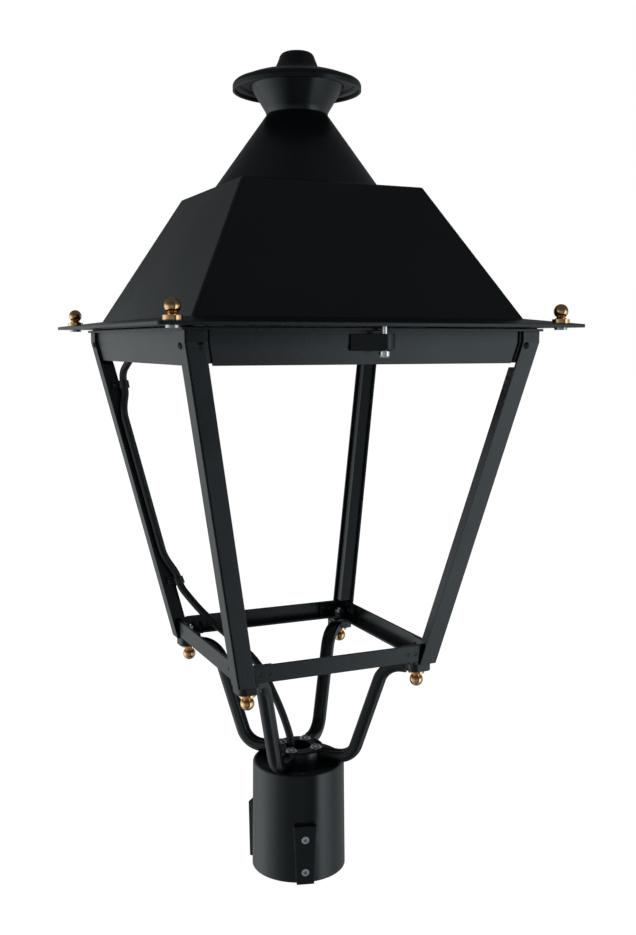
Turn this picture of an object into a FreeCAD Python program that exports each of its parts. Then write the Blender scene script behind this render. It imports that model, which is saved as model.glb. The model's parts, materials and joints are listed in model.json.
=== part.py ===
"""Post top lantern: four-sided tapered frame with a hinged roof, on a four-armed yoke and post sleeve.

Millimetres.  +Z is up, -Y is the front (latch side).  The origin is the centre of the
sleeve's open lower end, where the lantern stands over its post.
"""
import FreeCAD, Part
import math
import os

import Sketcher

doc = FreeCAD.newDocument("post_top_lantern")
sheet = doc.addObject("Spreadsheet::Sheet", "Sizes")
V = FreeCAD.Vector
Z_AXIS = V(0, 0, 1)
CORNERS = ("back_right", "back_left", "front_left", "front_right")
SIDES = ("front", "right", "back", "left")


# ---------------------------------------------------------------- sizes
class Size:
    """A length with the sheet expression that gives it."""

    def __init__(self, text, value):
        self.text = text
        self.value = float(value)

    def _with(self, sign, other, value):
        return Size("(%s %s %s)" % (self.text, sign, other.text), value)

    def __add__(self, other):
        other = lift(other)
        return self._with("+", other, self.value + other.value)

    def __sub__(self, other):
        other = lift(other)
        return self._with("-", other, self.value - other.value)

    def __mul__(self, other):
        other = lift(other)
        return self._with("*", other, self.value * other.value)

    def __truediv__(self, other):
        other = lift(other)
        return self._with("/", other, self.value / other.value)

    def __radd__(self, other):
        return lift(other) + self

    def __rsub__(self, other):
        return lift(other) - self

    def __rmul__(self, other):
        return lift(other) * self

    def __neg__(self):
        return lift(0) - self


def lift(number):
    """A plain number as a Size."""
    return number if isinstance(number, Size) else Size(repr(float(number)), number)


sheet_rows = 0


def size(name, value):
    """Write one driving dimension in the sheet and return it."""
    global sheet_rows
    sheet_rows += 1
    sheet.set("A%d" % sheet_rows, name)
    sheet.set("B%d" % sheet_rows, repr(value))
    sheet.setAlias("B%d" % sheet_rows, name)
    return Size("Sizes." + name, value)


# fits
seal_gap = size("seal_gap", 0.3)
running_gap = size("running_gap", 0.3)
thread_fit = size("thread_fit", 0.05)
pilot_gap = size("pilot_gap", 0.6)

# post sleeve
sleeve_height = size("sleeve_height", 117.0)
sleeve_foot_radius = size("sleeve_foot_radius", 50.0)
sleeve_head_radius = size("sleeve_head_radius", 48.8)
sleeve_edge_round = size("sleeve_edge_round", 4.5)
post_radius = size("post_radius", 44.5)
post_gap = size("post_gap", 0.75)
post_depth = size("post_depth", 75.0)
sleeve_stop_width = size("sleeve_stop_width", 4.5)
sleeve_top_wall = size("sleeve_top_wall", 6.0)
cable_hole_radius = size("cable_hole_radius", 12.8)
boss_face_radius = size("boss_face_radius", 54.0)
boss_height = size("boss_height", 62.5)
boss_top_width = size("boss_top_width", 23.0)
boss_foot_width = size("boss_foot_width", 18.0)
boss_turn = size("boss_turn", 254.5)
clamp_radius = size("clamp_radius", 4.0)
clamp_length = size("clamp_length", 8.0)
clamp_low_height = size("clamp_low_height", 12.5)
clamp_spacing = size("clamp_spacing", 35.0)

# yoke
hub_height = size("hub_height", 13.0)
hub_radius = size("hub_radius", 27.0)
hub_edge = size("hub_edge", 2.5)
hub_screw_circle = size("hub_screw_circle", 20.0)
arm_width = size("arm_width", 14.0)
arm_depth = size("arm_depth", 12.6)
arm_groove_width = size("arm_groove_width", 6.0)
arm_groove_slope = size("arm_groove_slope", 0.8)
arm_edge = size("arm_edge", 1.5)
arm_relief = size("arm_relief", 0.4)
arm_end_run = size("arm_end_run", 10.5)
arm_groove_depth = size("arm_groove_depth", 2.0)
arm_low_corner = size("arm_low_corner", 60.5)
arm_high_corner = size("arm_high_corner", 96.5)
arm_low_bend = size("arm_low_bend", 23.0)
arm_high_bend = size("arm_high_bend", 24.0)
pad_height = size("pad_height", 228.0)
pad_thickness = size("pad_thickness", 8.0)
pad_side = size("pad_side", 24.0)
pad_round = size("pad_round", 7.0)
foot_bolt_half = size("foot_bolt_half", 91.7)

# frame
foot_plate_thickness = size("foot_plate_thickness", 3.0)
foot_plate_inset = size("foot_plate_inset", 11.0)
foot_plate_round = size("foot_plate_round", 3.5)
foot_boss_side = size("foot_boss_side", 13.0)
cleat_reach = size("cleat_reach", 36.0)
cleat_wall = size("cleat_wall", 2.5)
cleat_floor = size("cleat_floor", 2.0)
cleat_root = size("cleat_root", 6.0)
cleat_height = size("cleat_height", 14.8)
leg_foot_half = size("leg_foot_half", 106.5)
leg_head_half = size("leg_head_half", 174.2)
leg_slant_height = size("leg_slant_height", 319.0)
leg_straight_height = size("leg_straight_height", 10.3)
leg_width = size("leg_width", 18.0)
leg_wall = size("leg_wall", 2.4)
leg_core = size("leg_core", 15.3)
leg_screw_drop = size("leg_screw_drop", 3.0)
leg_screw_edge = size("leg_screw_edge", 4.5)
leg_core_wall = size("leg_core_wall", 1.8)
leg_core_gap = size("leg_core_gap", 0.5)
seam_place = size("seam_place", 0.5)
seam_width = size("seam_width", 1.2)
seam_depth = size("seam_depth", 1.0)
rail_height = size("rail_height", 17.0)
rail_wall = size("rail_wall", 2.2)
rail_shelf = size("rail_shelf", 15.0)
rail_end_gap = size("rail_end_gap", 1.3)
shelf_inset = size("shelf_inset", 5.0)
shelf_taper = size("shelf_taper", 2.0)
apron_height = size("apron_height", 19.5)
apron_wall = size("apron_wall", 2.2)
apron_setback = size("apron_setback", 0.5)
apron_end_gap = size("apron_end_gap", 4.5)
apron_bend = size("apron_bend", 60.0)
ring_thickness = size("ring_thickness", 2.3)
ring_overhang = size("ring_overhang", 2.5)
ring_opening_half = size("ring_opening_half", 150.0)
bracket_arm = size("bracket_arm", 46.0)
bracket_wall = size("bracket_wall", 2.5)
bracket_margin = size("bracket_margin", 2.0)
gasket_thickness = size("gasket_thickness", 0.9)
gasket_inset = size("gasket_inset", 4.0)

# roof
roof_half = size("roof_half", 205.0)
roof_corner_round = size("roof_corner_round", 4.0)
roof_edge = size("roof_edge", 3.0)
roof_edge_rise = size("roof_edge_rise", 5.4)
canopy_base_half = size("canopy_base_half", 164.0)
canopy_top_half = size("canopy_top_half", 93.0)
canopy_height = size("canopy_height", 126.8)
canopy_wall = size("canopy_wall", 3.0)
canopy_ridge_round = size("canopy_ridge_round", 4.0)
cone_foot_radius = size("cone_foot_radius", 85.2)
cone_neck_radius = size("cone_neck_radius", 30.8)
cone_height = size("cone_height", 76.5)
sheet_wall = size("sheet_wall", 2.0)
funnel_foot_radius = size("funnel_foot_radius", 31.0)
funnel_top_radius = size("funnel_top_radius", 46.8)
funnel_height = size("funnel_height", 28.0)
cap_radius = size("cap_radius", 64.2)
cap_lip_lift = size("cap_lip_lift", 23.2)
cap_rim_height = size("cap_rim_height", 4.0)
cap_rim_round = size("cap_rim_round", 5.5)
cap_dome_rise = size("cap_dome_rise", 17.8)
knob_foot_radius = size("knob_foot_radius", 28.0)
knob_radius = size("knob_radius", 20.0)
knob_rise = size("knob_rise", 37.6)
tie_radius = size("tie_radius", 4.0)

# finials and fasteners
finial_inset = size("finial_inset", 17.0)
ball_radius = size("ball_radius", 6.8)
collar_radius = size("collar_radius", 8.2)
collar_height = size("collar_height", 3.6)
neck_radius = size("neck_radius", 3.8)
neck_height = size("neck_height", 1.6)
stud_radius = size("stud_radius", 3.0)
small_screw_radius = size("small_screw_radius", 3.3)
hub_screw_radius = size("hub_screw_radius", 6.0)
small_shank = size("small_shank", 1.9)
rail_screw_height = size("rail_screw_height", 8.5)
rail_screw_spacing = size("rail_screw_spacing", 9.0)
rail_screw_edge = size("rail_screw_edge", 4.0)
rail_screw_length = size("rail_screw_length", 4.4)
leg_screw_length = size("leg_screw_length", 7.0)

# latch
latch_left = size("latch_left", -23.0)
latch_right = size("latch_right", 16.0)
latch_gap = size("latch_gap", 2.9)
latch_toe = size("latch_toe", 2.0)
latch_round = size("latch_round", 11.0)
latch_edge = size("latch_edge", 2.2)
latch_depth = size("latch_depth", 18.5)
latch_height = size("latch_height", 14.8)
lock_place = size("lock_place", 4.0)
lock_radius = size("lock_radius", 2.5)
lock_bite = size("lock_bite", 3.6)
lock_overhang = size("lock_overhang", 7.5)
lock_head_radius = size("lock_head_radius", 5.0)
lock_head_height = size("lock_head_height", 4.0)
lock_head_gap = size("lock_head_gap", 0.4)

# hinge
hinge_place = size("hinge_place", 100.0)
hinge_setback = size("hinge_setback", 9.8)
hinge_drop = size("hinge_drop", 5.8)
knuckle_radius = size("knuckle_radius", 4.6)
pin_radius = size("pin_radius", 2.0)
knuckle_width = size("knuckle_width", 12.0)
eye_width = size("eye_width", 7.0)
eye_gap = size("eye_gap", 0.4)

# light engine and wiring
tray_half = size("tray_half", 156.0)
tray_thickness = size("tray_thickness", 2.0)
tray_lift = size("tray_lift", 2.4)
tray_screw_inset = size("tray_screw_inset", 9.0)
engine_half = size("engine_half", 80.0)
sink_base = size("sink_base", 6.0)
fin_height = size("fin_height", 24.0)
fin_wall = size("fin_wall", 2.5)
board_thickness = size("board_thickness", 1.6)
lens_radius = size("lens_radius", 12.0)
plug_x = size("plug_x", 141.0)
plug_y = size("plug_y", 127.0)
plug_half = size("plug_half", 9.0)
socket_height = size("socket_height", 16.0)
gland_height = size("gland_height", 5.0)
cable_radius = size("cable_radius", 4.0)
clip_wall = size("clip_wall", 1.5)
cable_inset = size("cable_inset", 9.75)
clip_inset = size("clip_inset", 18.8)
clip_depth = size("clip_depth", 20.5)
clip_high_drop = size("clip_high_drop", 46.0)
clip_low_drop = size("clip_low_drop", 260.0)
clip_block = size("clip_block", 3.2)
clip_screw_place = size("clip_screw_place", 9.3)
clip_shank = size("clip_shank", 1.6)
clip_head = size("clip_head", 2.7)
clip_length = size("clip_length", 8.0)
cable_first_run = size("cable_first_run", 7.0)
cable_tail = size("cable_tail", 32.0)

# fastener details
nut_factor = size("nut_factor", 1.88)
nut_thickness = size("nut_thickness", 5.0)
nut_end = size("nut_end", 2.0)
stud_head = size("stud_head", 2.2)
drill_length = size("drill_length", 12.0)
drill_back = size("drill_back", 10.0)

# heights that follow from the sizes above
ROOT_TWO = math.sqrt(2)
hub_screw_half = hub_screw_circle / ROOT_TWO
hub_top = sleeve_height + hub_height
pad_top = pad_height + pad_thickness
frame_foot = pad_top + foot_plate_thickness
kink_height = frame_foot + leg_slant_height
ring_under = kink_height + leg_straight_height
ring_top = ring_under + ring_thickness
gasket_top = ring_top + gasket_thickness
roof_under = gasket_top + seal_gap
roof_edge_top = roof_under + roof_edge
canopy_foot = roof_edge_top + roof_edge_rise
canopy_top = canopy_foot + canopy_height
cone_top = canopy_top + cone_height
funnel_top = cone_top + funnel_height
cap_lip = cone_top + cap_lip_lift
finial_half = roof_half - finial_inset
seat_run = roof_half - finial_half - collar_radius
seat = roof_edge_top + roof_edge_rise * seat_run / (roof_half - canopy_base_half)
tray_under = roof_under + tray_lift
tray_top = tray_under + tray_thickness
lock_line = leg_head_half + ring_overhang + lock_overhang

# the hanging bow of the cable, as shares of the way from the hub's mouth to the lower clip
CABLE_BOW = [(0.828, 0.801, 0.852), (0.600, 0.566, 0.715), (0.297, 0.275, 0.540), (0.088, 0.085, 0.210)]


def leg_half_at(height):
    """Half the distance across the outer faces of the legs at a height on the slant."""
    return leg_foot_half + (leg_head_half - leg_foot_half) * (height - frame_foot) / leg_slant_height


# ---------------------------------------------------------------- building helpers
def settle():
    doc.recompute()


def bind(thing, **terms):
    """Bind properties of an object to sheet expressions."""
    for name, term in terms.items():
        thing.setExpression(name, lift(term).text)
    return thing


def place(thing, x=0, y=0, z=0, turn=None):
    """Bind the position of an object, and turn it about Z by some degrees."""
    if turn is not None:
        thing.Placement = FreeCAD.Placement(V(0, 0, 0), FreeCAD.Rotation(Z_AXIS, turn))
    for axis, term in (("x", x), ("y", y), ("z", z)):
        thing.setExpression(".Placement.Base." + axis, lift(term).text)
    return thing


def box(name, x, y, z, length, width, height):
    """A box with one corner at x, y, z."""
    thing = doc.addObject("Part::Box", name)
    bind(thing, Length=length, Width=width, Height=height)
    return place(thing, x, y, z)


def tube(name, radius, height, x=0, y=0, z=0, along=None):
    """A cylinder from x, y, z along +Z, or along another direction."""
    thing = doc.addObject("Part::Cylinder", name)
    bind(thing, Radius=radius, Height=height)
    if along is not None:
        thing.Placement = FreeCAD.Placement(V(0, 0, 0), FreeCAD.Rotation(Z_AXIS, along))
    return place(thing, x, y, z)


def cone(name, low, high, height, x=0, y=0, z=0):
    thing = doc.addObject("Part::Cone", name)
    bind(thing, Radius1=low, Radius2=high, Height=height)
    return place(thing, x, y, z)


def ball(name, radius, x=0, y=0, z=0):
    thing = doc.addObject("Part::Sphere", name)
    bind(thing, Radius=radius)
    return place(thing, x, y, z)


def fuse(name, parts):
    thing = doc.addObject("Part::MultiFuse", name)
    thing.Shapes = parts
    return thing


def cut(name, base, tool):
    thing = doc.addObject("Part::Cut", name)
    thing.Base = base
    thing.Tool = tool
    return thing


def group(name, parts):
    """Several separate solids under one name."""
    thing = doc.addObject("Part::Compound", name)
    thing.Links = parts
    return thing


def new_body(name):
    return doc.addObject("PartDesign::Body", name)


def sketch_on(body, role, offset=None):
    """A sketch on one of the body's origin planes, moved along the plane's normal."""
    sketch = body.newObject("Sketcher::SketchObject", body.Name + "_sketch")
    plane = [item for item in body.Origin.OriginFeatures if item.Role == role][0]
    sketch.AttachmentSupport = [(plane, "")]
    sketch.MapMode = "FlatFace"
    if offset is not None:
        sketch.setExpression(".AttachmentOffset.Base.z", lift(offset).text)
    return sketch


def fix_point(sketch, geometry, end, x, y):
    """Tie one point of a sketch to its two distances from the sketch's origin."""
    for kind, term, axis in (("DistanceX", x, -2), ("DistanceY", y, -1)):
        term = lift(term)
        if abs(term.value) < 1e-9:
            sketch.addConstraint(Sketcher.Constraint("PointOnObject", geometry, end, axis))
        else:
            index = sketch.addConstraint(Sketcher.Constraint(kind, -1, 1, geometry, end, term.value))
            sketch.setExpression("Constraints[%d]" % index, term.text)


def arc_centre(start, end, radius):
    """Centre of the arc from start to end; a positive radius turns anticlockwise."""
    middle = (start + end) * 0.5
    half = (end - start) * 0.5
    side = V(-half.y, half.x, 0).normalize()
    rise = math.sqrt(max(radius * radius - half.Length ** 2, 0))
    return middle + side * (rise if radius > 0 else -rise)


def outline(sketch, corners, closed=True):
    """A chain of lines through corners (x, y); (x, y, radius) is reached by an arc."""
    spots = [V(lift(c[0]).value, lift(c[1]).value, 0) for c in corners]
    count = len(corners)
    ends = []
    for index in range(0 if closed else 1, count):
        start = spots[index - 1]
        spot = spots[index]
        if len(corners[index]) == 3:
            bend = lift(corners[index][2])
            centre = arc_centre(start, spot, bend.value)
            circle = Part.Circle(centre, Z_AXIS, abs(bend.value))
            first, last = (start, spot) if bend.value > 0 else (spot, start)
            angles = [math.atan2(p.y - centre.y, p.x - centre.x) for p in (first, last)]
            if angles[1] <= angles[0]:
                angles[1] += 2 * math.pi
            item = sketch.addGeometry(Part.ArcOfCircle(circle, angles[0], angles[1]))
            ends.append((item, 1, 2) if bend.value > 0 else (item, 2, 1))
            mark = sketch.addConstraint(Sketcher.Constraint("Radius", item, abs(bend.value)))
            radius = bend if bend.value > 0 else -bend
            sketch.setExpression("Constraints[%d]" % mark, radius.text)
        else:
            item = sketch.addGeometry(Part.LineSegment(start, spot))
            ends.append((item, 1, 2))
    for index in range(0 if closed else 1, len(ends)):
        before = ends[index - 1]
        after = ends[index]
        sketch.addConstraint(Sketcher.Constraint("Coincident", before[0], before[2], after[0], after[1]))
    if not closed:
        fix_point(sketch, ends[0][0], ends[0][1], corners[0][0], corners[0][1])
    for (item, _, end), corner in zip(ends, corners if closed else corners[1:]):
        fix_point(sketch, item, end, corner[0], corner[1])
    return [item for item, _, _ in ends]


def circles(sketch, spots, radius):
    """Circles of one radius at spots (x, y)."""
    for x, y in spots:
        centre = V(lift(x).value, lift(y).value, 0)
        item = sketch.addGeometry(Part.Circle(centre, Z_AXIS, lift(radius).value))
        mark = sketch.addConstraint(Sketcher.Constraint("Radius", item, lift(radius).value))
        sketch.setExpression("Constraints[%d]" % mark, lift(radius).text)
        fix_point(sketch, item, 3, x, y)


def pad(body, sketch, length):
    item = body.newObject("PartDesign::Pad", body.Name + "_pad")
    item.Profile = sketch
    return bind(item, Length=length)


def pocket(body, sketch, length, backwards=False):
    """A pocket that goes against the plane's normal, or along it if backwards."""
    item = body.newObject("PartDesign::Pocket", body.Name + "_pocket")
    item.Profile = sketch
    item.Reversed = backwards
    return bind(item, Length=length)


def turned(body, corners, groove=False):
    """A revolution about Z of an outline given as (radius, height)."""
    sketch = sketch_on(body, "XZ_Plane")
    outline(sketch, corners)
    kind = "PartDesign::Groove" if groove else "PartDesign::Revolution"
    item = body.newObject(kind, body.Name + "_turn")
    item.Profile = sketch
    item.ReferenceAxis = (sketch, ["V_Axis"])
    item.Angle = 360
    return item


def loft(body, corners_low, low, corners_high, high, subtract=False):
    """A ruled loft between two level outlines with equally many corners."""
    first = sketch_on(body, "XY_Plane", low)
    outline(first, corners_low)
    second = sketch_on(body, "XY_Plane", high)
    outline(second, corners_high)
    kind = "PartDesign::SubtractiveLoft" if subtract else "PartDesign::AdditiveLoft"
    item = body.newObject(kind, body.Name + "_loft")
    item.Profile = first
    item.Sections = [second]
    item.Ruled = True
    return second


def square(half):
    return [(-half, -half), (half, -half), (half, half), (-half, half)]


def rounded_edges(body, base, radius, chosen):
    """Fillet the edges of a feature that a test picks."""
    settle()
    names = []
    for index, edge in enumerate(base.Shape.Edges):
        if chosen(edge):
            names.append("Edge%d" % (index + 1))
    item = body.newObject("PartDesign::Fillet", body.Name + "_round")
    item.Base = (base, names)
    return bind(item, Radius=radius)


def pan_screw(name, head_radius, shank_radius, length):
    """A domed screw with a cross recess: head above z = 0, shank below it."""
    head_height = head_radius * 0.62
    dome_radius = head_radius * 1.12
    slot_width = head_radius * 0.26
    slot_length = head_radius * 1.1
    head = tube(name + "_head", head_radius, head_height)
    dome = ball(name + "_dome", dome_radius, z=head_height - dome_radius)
    crown = doc.addObject("Part::MultiCommon", name + "_crown")
    crown.Shapes = [head, dome]
    shank = tube(name + "_shank", shank_radius, length, z=-length)
    whole = fuse(name + "_blank", [crown, shank])
    lift_off = head_height * 0.45
    slot_a = box(name + "_slot_a", slot_length * -0.5, slot_width * -0.5, lift_off,
                 slot_length, slot_width, head_height)
    slot_b = box(name + "_slot_b", slot_width * -0.5, slot_length * -0.5, lift_off,
                 slot_width, slot_length, head_height)
    return cut(name + "_screw", whole, fuse(name + "_cross", [slot_a, slot_b]))


def aimed(name, source, x, y, z, direction, spin=0.0):
    """A copy of an object with its +Z turned to a direction and its origin at x, y, z."""
    holder = doc.addObject("Part::Compound", name)
    holder.Links = [source]
    turn = FreeCAD.Rotation(Z_AXIS, V(*direction))
    holder.Placement = FreeCAD.Placement(V(0, 0, 0), turn.multiply(FreeCAD.Rotation(Z_AXIS, spin)))
    return place(holder, x, y, z)


def on_corners(x, y):
    """The four places that a spot takes on turning by quarter turns about Z."""
    return [(x, y), (-y, x), (-x, -y), (y, -x)]


nodes = []


def node(thing, label):
    """Name a finished piece; its label is the name of its file."""
    thing.Label = label
    nodes.append(thing)
    return thing


# ---------------------------------------------------------------- post sleeve
def post_sleeve():
    body = new_body("sleeve_casting")
    bore = post_radius + post_gap
    cavity = bore - sleeve_stop_width
    head = sleeve_height - sleeve_edge_round
    turned(body, [(bore, 0), (sleeve_foot_radius, 0), (sleeve_head_radius, head),
                  (sleeve_head_radius - sleeve_edge_round, sleeve_height, sleeve_edge_round),
                  (cable_hole_radius, sleeve_height),
                  (cable_hole_radius, sleeve_height - sleeve_top_wall),
                  (cavity, sleeve_height - sleeve_top_wall), (cavity, post_depth),
                  (bore, post_depth)])
    bosses = []
    holes = []
    for index in range(3):
        turn = boss_turn.value + 120 * index
        wedge = doc.addObject("Part::Wedge", "boss_%d" % index)
        bind(wedge, Xmin=bore + 0.8, Xmax=boss_face_radius, Ymin=0, Ymax=boss_height,
             Zmin=boss_foot_width * -0.5, Zmax=boss_foot_width * 0.5,
             X2min=bore + 0.8, X2max=boss_face_radius,
             Z2min=boss_top_width * -0.5, Z2max=boss_top_width * 0.5)
        wedge.Placement = FreeCAD.Placement(V(0, 0, 0), FreeCAD.Rotation(V(1, 0, 0), 90))
        standing = group("boss_stand_%d" % index, [wedge])
        standing.Placement = FreeCAD.Placement(V(0, 0, 0), FreeCAD.Rotation(Z_AXIS, turn))
        bosses.append(standing)
        for level, height in enumerate((clamp_low_height, clamp_low_height + clamp_spacing)):
            hole = tube("clamp_hole_%d_%d" % (index, level), clamp_radius + thread_fit, 20)
            hole.Placement = FreeCAD.Placement(V(0, 0, 0), FreeCAD.Rotation(V(0, 1, 0), 90))
            place(hole, 40, 0, height)
            aimed_hole = group("clamp_way_%d_%d" % (index, level), [hole])
            aimed_hole.Placement = FreeCAD.Placement(V(0, 0, 0), FreeCAD.Rotation(Z_AXIS, turn))
            holes.append(aimed_hole)
    for index, (x, y) in enumerate(on_corners(hub_screw_half, hub_screw_half)):
        holes.append(tube("sleeve_tap_%d" % index, stud_radius + thread_fit, sleeve_top_wall * 3, x, y,
                          sleeve_height - sleeve_top_wall * 2))
    return node(cut("sleeve_cut", fuse("sleeve_blank", [body] + bosses), fuse("sleeve_holes", holes)),
                "post_sleeve")


def clamp_screws():
    """Six hexagon socket screws, one node each, flush with the bore when slack."""
    for index in range(3):
        turn = boss_turn.value + 120 * index
        for level, word in ((0, "low"), (1, "high")):
            name = "clamp_screw_%d_%s" % (index + 1, word)
            shank = tube(name + "_shank", clamp_radius, clamp_length)
            socket = doc.addObject("Part::Prism", name + "_socket")
            socket.Polygon = 6
            bind(socket, Circumradius=clamp_radius * 0.6, Height=clamp_length * 0.5)
            place(socket, z=clamp_length * 0.6)
            plain = cut(name + "_cut", shank, socket)
            plain.Placement = FreeCAD.Placement(V(0, 0, 0), FreeCAD.Rotation(V(0, 1, 0), 90))
            place(plain, post_radius + post_gap + 0.25, 0, clamp_low_height + clamp_spacing * level)
            whole = group(name + "_turned", [plain])
            whole.Placement = FreeCAD.Placement(V(0, 0, 0), FreeCAD.Rotation(Z_AXIS, turn))
            node(whole, name)


# ---------------------------------------------------------------- yoke
def yoke_hub():
    body = new_body("hub_casting")
    turned(body, [(cable_hole_radius, sleeve_height), (hub_radius, sleeve_height),
                  (hub_radius, hub_top - hub_edge), (hub_radius - hub_edge, hub_top, hub_edge),
                  (cable_hole_radius + 1, hub_top), (cable_hole_radius, hub_top - 1)])
    holes = [tube("hub_hole_%d" % index, stud_radius + thread_fit, hub_height + 2, x, y, sleeve_height - 1)
             for index, (x, y) in enumerate(on_corners(hub_screw_half, hub_screw_half))]
    return node(cut("hub_cut", body, fuse("hub_holes", holes)), "yoke_hub")


def yoke_arm(name, turn):
    """One arm: a grooved bar swept from the hub up to the pad under a corner of the frame."""
    body = new_body("arm_" + name)
    low = sleeve_height + arm_depth / 2
    high = pad_top - arm_depth / 2 - arm_relief
    end = foot_bolt_half * ROOT_TWO
    arm_root = hub_radius - arm_edge
    path = sketch_on(body, "XZ_Plane")
    slant = V(arm_high_corner.value - arm_low_corner.value, high.value - low.value, 0)
    angle = math.atan2(slant.y, slant.x)
    low_run = arm_low_bend * math.tan(angle / 2)
    high_run = arm_high_bend * math.tan(angle / 2)
    along = (math.cos(angle), math.sin(angle))
    outline(path, [(arm_root, low), (arm_low_corner - low_run, low),
                   (arm_low_corner + low_run * along[0], low + low_run * along[1], arm_low_bend),
                   (arm_high_corner - high_run * along[0], high - high_run * along[1]),
                   (arm_high_corner + high_run, high, -arm_high_bend),
                   (end - arm_end_run, high)], closed=False)
    section = sketch_on(body, "YZ_Plane", arm_root)
    half = arm_width / 2
    top = low + arm_depth / 2
    shoulder = low + arm_depth / 2 - (arm_depth - half)
    groove = arm_groove_width / 2
    outline(section, [(-half, shoulder), (0, shoulder - half, half), (half, shoulder, half),
                      (half, top - arm_edge), (half - arm_edge, top),
                      (groove, top), (groove - arm_groove_slope, top - arm_groove_depth),
                      (arm_groove_slope - groove, top - arm_groove_depth), (-groove, top),
                      (arm_edge - half, top), (-half, top - arm_edge)])
    pipe = body.newObject("PartDesign::AdditivePipe", body.Name + "_bar")
    pipe.Profile = section
    settle()
    pipe.Spine = (path, ["Edge%d" % (index + 1) for index in range(5)])
    plate = sketch_on(body, "XY_Plane", pad_height)
    reach = pad_side / ROOT_TWO
    outline(plate, [(end - reach, 0), (end, -reach), (end + reach, 0), (end, reach)])
    block = pad(body, plate, pad_thickness)
    rounded_edges(body, block, pad_round,
                  lambda edge: is_upright(edge) and edge.BoundBox.XMax > end.value - 1)
    hole = sketch_on(body, "XY_Plane", pad_top + 1)
    circles(hole, [(end, 0)], stud_radius + thread_fit)
    pocket(body, hole, pad_thickness + 6)
    hub_face = tube("arm_trim_" + name, hub_radius, hub_height * 3, z=sleeve_height - hub_height)
    trimmed = cut("arm_cut_" + name, body, hub_face)
    trimmed.Placement = FreeCAD.Placement(V(0, 0, 0), FreeCAD.Rotation(Z_AXIS, turn))
    return node(trimmed, "yoke_arm_" + name)


def is_upright(edge):
    """Whether an edge is a straight line along Z."""
    return edge.BoundBox.XLength < 1e-3 and edge.BoundBox.YLength < 1e-3 and edge.BoundBox.ZLength > 0.5


def hub_screws():
    heads = []
    for index, (x, y) in enumerate(on_corners(hub_screw_half, hub_screw_half)):
        screw = pan_screw("hub_screw_%d" % index, hub_screw_radius, stud_radius,
                          hub_height + sleeve_top_wall)
        heads.append(aimed("hub_screw_set_%d" % index, screw, x, y, hub_top, (0, 0, 1), 20.0 * index + 12))
    return node(group("hub_screw_group", heads), "hub_screws")


# ---------------------------------------------------------------- frame
def foot_brackets():
    """Four castings: a plate under the leg, a boss for the finial's stud and a cleat behind the rails."""
    back = leg_foot_half - leg_wall - rail_wall
    front = back - cleat_wall
    low = frame_foot + rail_wall
    boss = foot_bolt_half - foot_boss_side / 2
    far = leg_foot_half - cleat_reach
    pieces = []
    for index in range(4):
        name = "foot_%d" % index
        body = new_body(name + "_plate")
        plate = sketch_on(body, "XY_Plane", pad_top)
        near = foot_bolt_half - foot_plate_inset
        end = leg_half_at(pad_top) - leg_wall - thread_fit
        outline(plate, [(near, near), (end, near), (end, end), (near, end)])
        block = pad(body, plate, foot_plate_thickness)
        rounded_edges(body, block, foot_plate_round, is_upright)
        post = box(name + "_boss", boss, boss, pad_top, foot_boss_side, foot_boss_side,
                   foot_plate_thickness + rail_wall + cleat_floor)
        root = boss - cleat_root
        floor = box(name + "_floor", root, root, low, front - root, front - root, cleat_floor)
        wall_x = box(name + "_wall_x", front, far, low, cleat_wall, back - far, cleat_height)
        wall_y = box(name + "_wall_y", far, front, low, back - far, cleat_wall, cleat_height)
        hole = tube(name + "_hole", stud_radius + thread_fit, drill_length * 2, foot_bolt_half,
                    foot_bolt_half, pad_top - pad_thickness)
        tools = fuse(name + "_holes", [hole, rail_screw_drills(name)])
        whole = cut(name + "_cut", fuse(name + "_blank", [body, post, floor, wall_x, wall_y]), tools)
        whole.Placement = FreeCAD.Placement(V(0, 0, 0), FreeCAD.Rotation(Z_AXIS, 90 * index))
        pieces.append(whole)
    return node(group("foot_bracket_group", pieces), "foot_brackets")


def leg_angle(half):
    """The leg's outer angle at +X +Y, with a seam beside its corner."""
    seam_end = seam_place + seam_width
    slope = seam_width / 3
    steps = [(0, 0), (seam_place, 0), (seam_place + slope, seam_depth), (seam_end - slope, seam_depth),
             (seam_end, 0), (leg_width, 0), (leg_width, leg_wall), (leg_wall, leg_wall),
             (leg_wall, leg_width), (0, leg_width)]
    return [(half - u, half - v) for u, v in steps]


def leg_square(half, low, high):
    """A square across the leg, by its distances from the leg's two outer faces."""
    return [(half - u, half - v) for u, v in ((low, low), (high, low), (high, high), (low, high))]


def leg_screw_places():
    """Places and outward directions of the two screws at the +X +Y corner."""
    height = kink_height - leg_screw_drop
    half = leg_half_at(height)
    along = half - leg_width + leg_screw_edge
    tilt = (leg_head_half.value - leg_foot_half.value) / leg_slant_height.value
    return [(along, half, height, (0, 1, -tilt)), (half, along, height, (1, 0, -tilt))]


def leg_screw_drills(name):
    """Holes for the two screws at the +X +Y corner."""
    holes = []
    for face, (x, y, height, direction) in enumerate(leg_screw_places()):
        label = "%s_drill_%d" % (name, face)
        drill = tube(label, small_shank + thread_fit, drill_length, z=-drill_back)
        holes.append(aimed(label + "_set", drill, x, y, height, direction))
    return fuse(name + "_drills", holes)


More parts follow.
